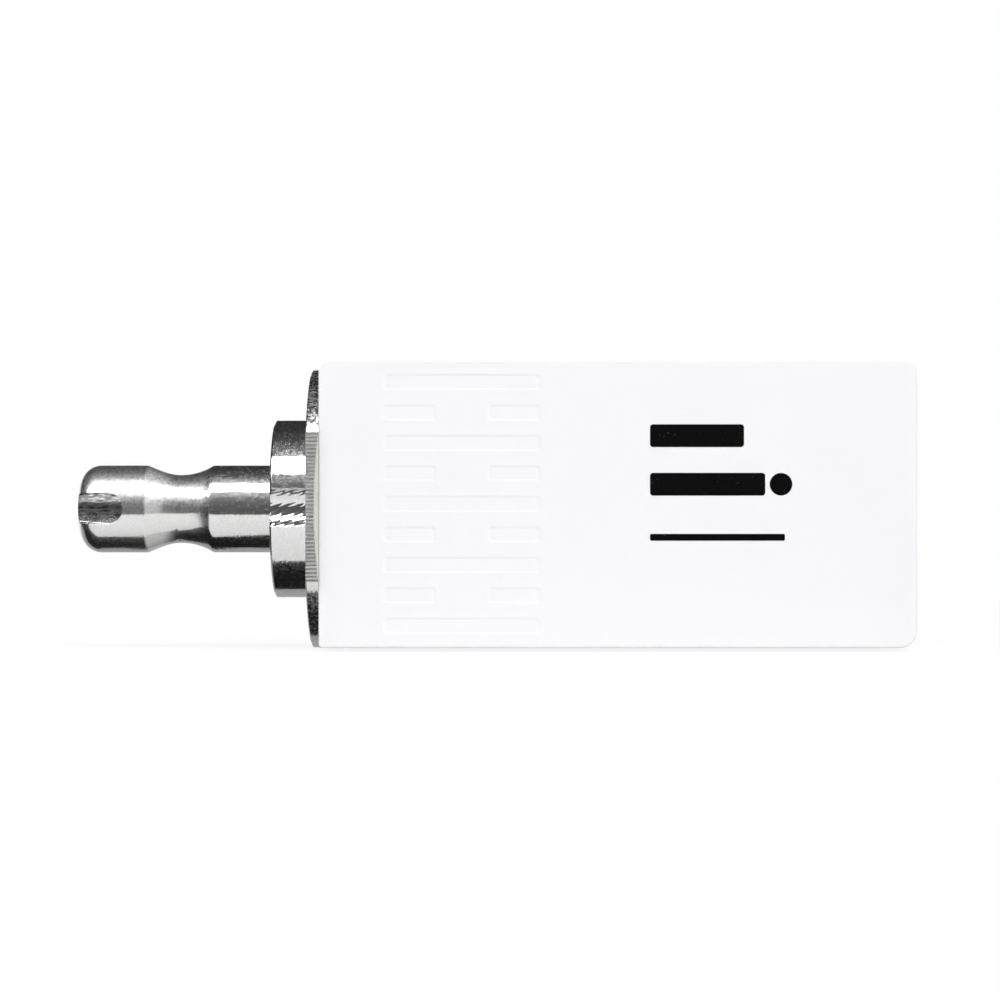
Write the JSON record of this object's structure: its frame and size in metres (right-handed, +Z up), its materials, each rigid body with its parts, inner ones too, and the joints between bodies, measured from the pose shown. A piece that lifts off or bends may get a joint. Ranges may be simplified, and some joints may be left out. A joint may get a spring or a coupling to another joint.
{
  "type": "milling block on a clamping holder",
  "caption": "Rectangular ceramic milling block glued to the dished flange of a turned metal holder with a collar, a necked shank and a keyed nose.",
  "frame": {"origin": "on the holder's axis, in the plane of the collar face that seats against the clamp", "axes": "-X along the shank to its nose, +X along the block, +Z up as the part lies on its narrow side, -Y the side with the keyway and the notch"},
  "size_m": [0.0563, 0.0164, 0.0192],
  "materials": {
    "pressed_ceramic": "matte, pre-sintered, fine powder grain",
    "turned_steel": "turned, bright satin",
    "adhesive": "cured, slightly translucent grey",
    "marking_ink": "black printed ink, on the visual model only"
  },
  "bodies": {
    "root": {"zirconia_block": "pressed_ceramic", "holder": "turned_steel", "bond_layer": "adhesive"}
  },
  "joints": []
}
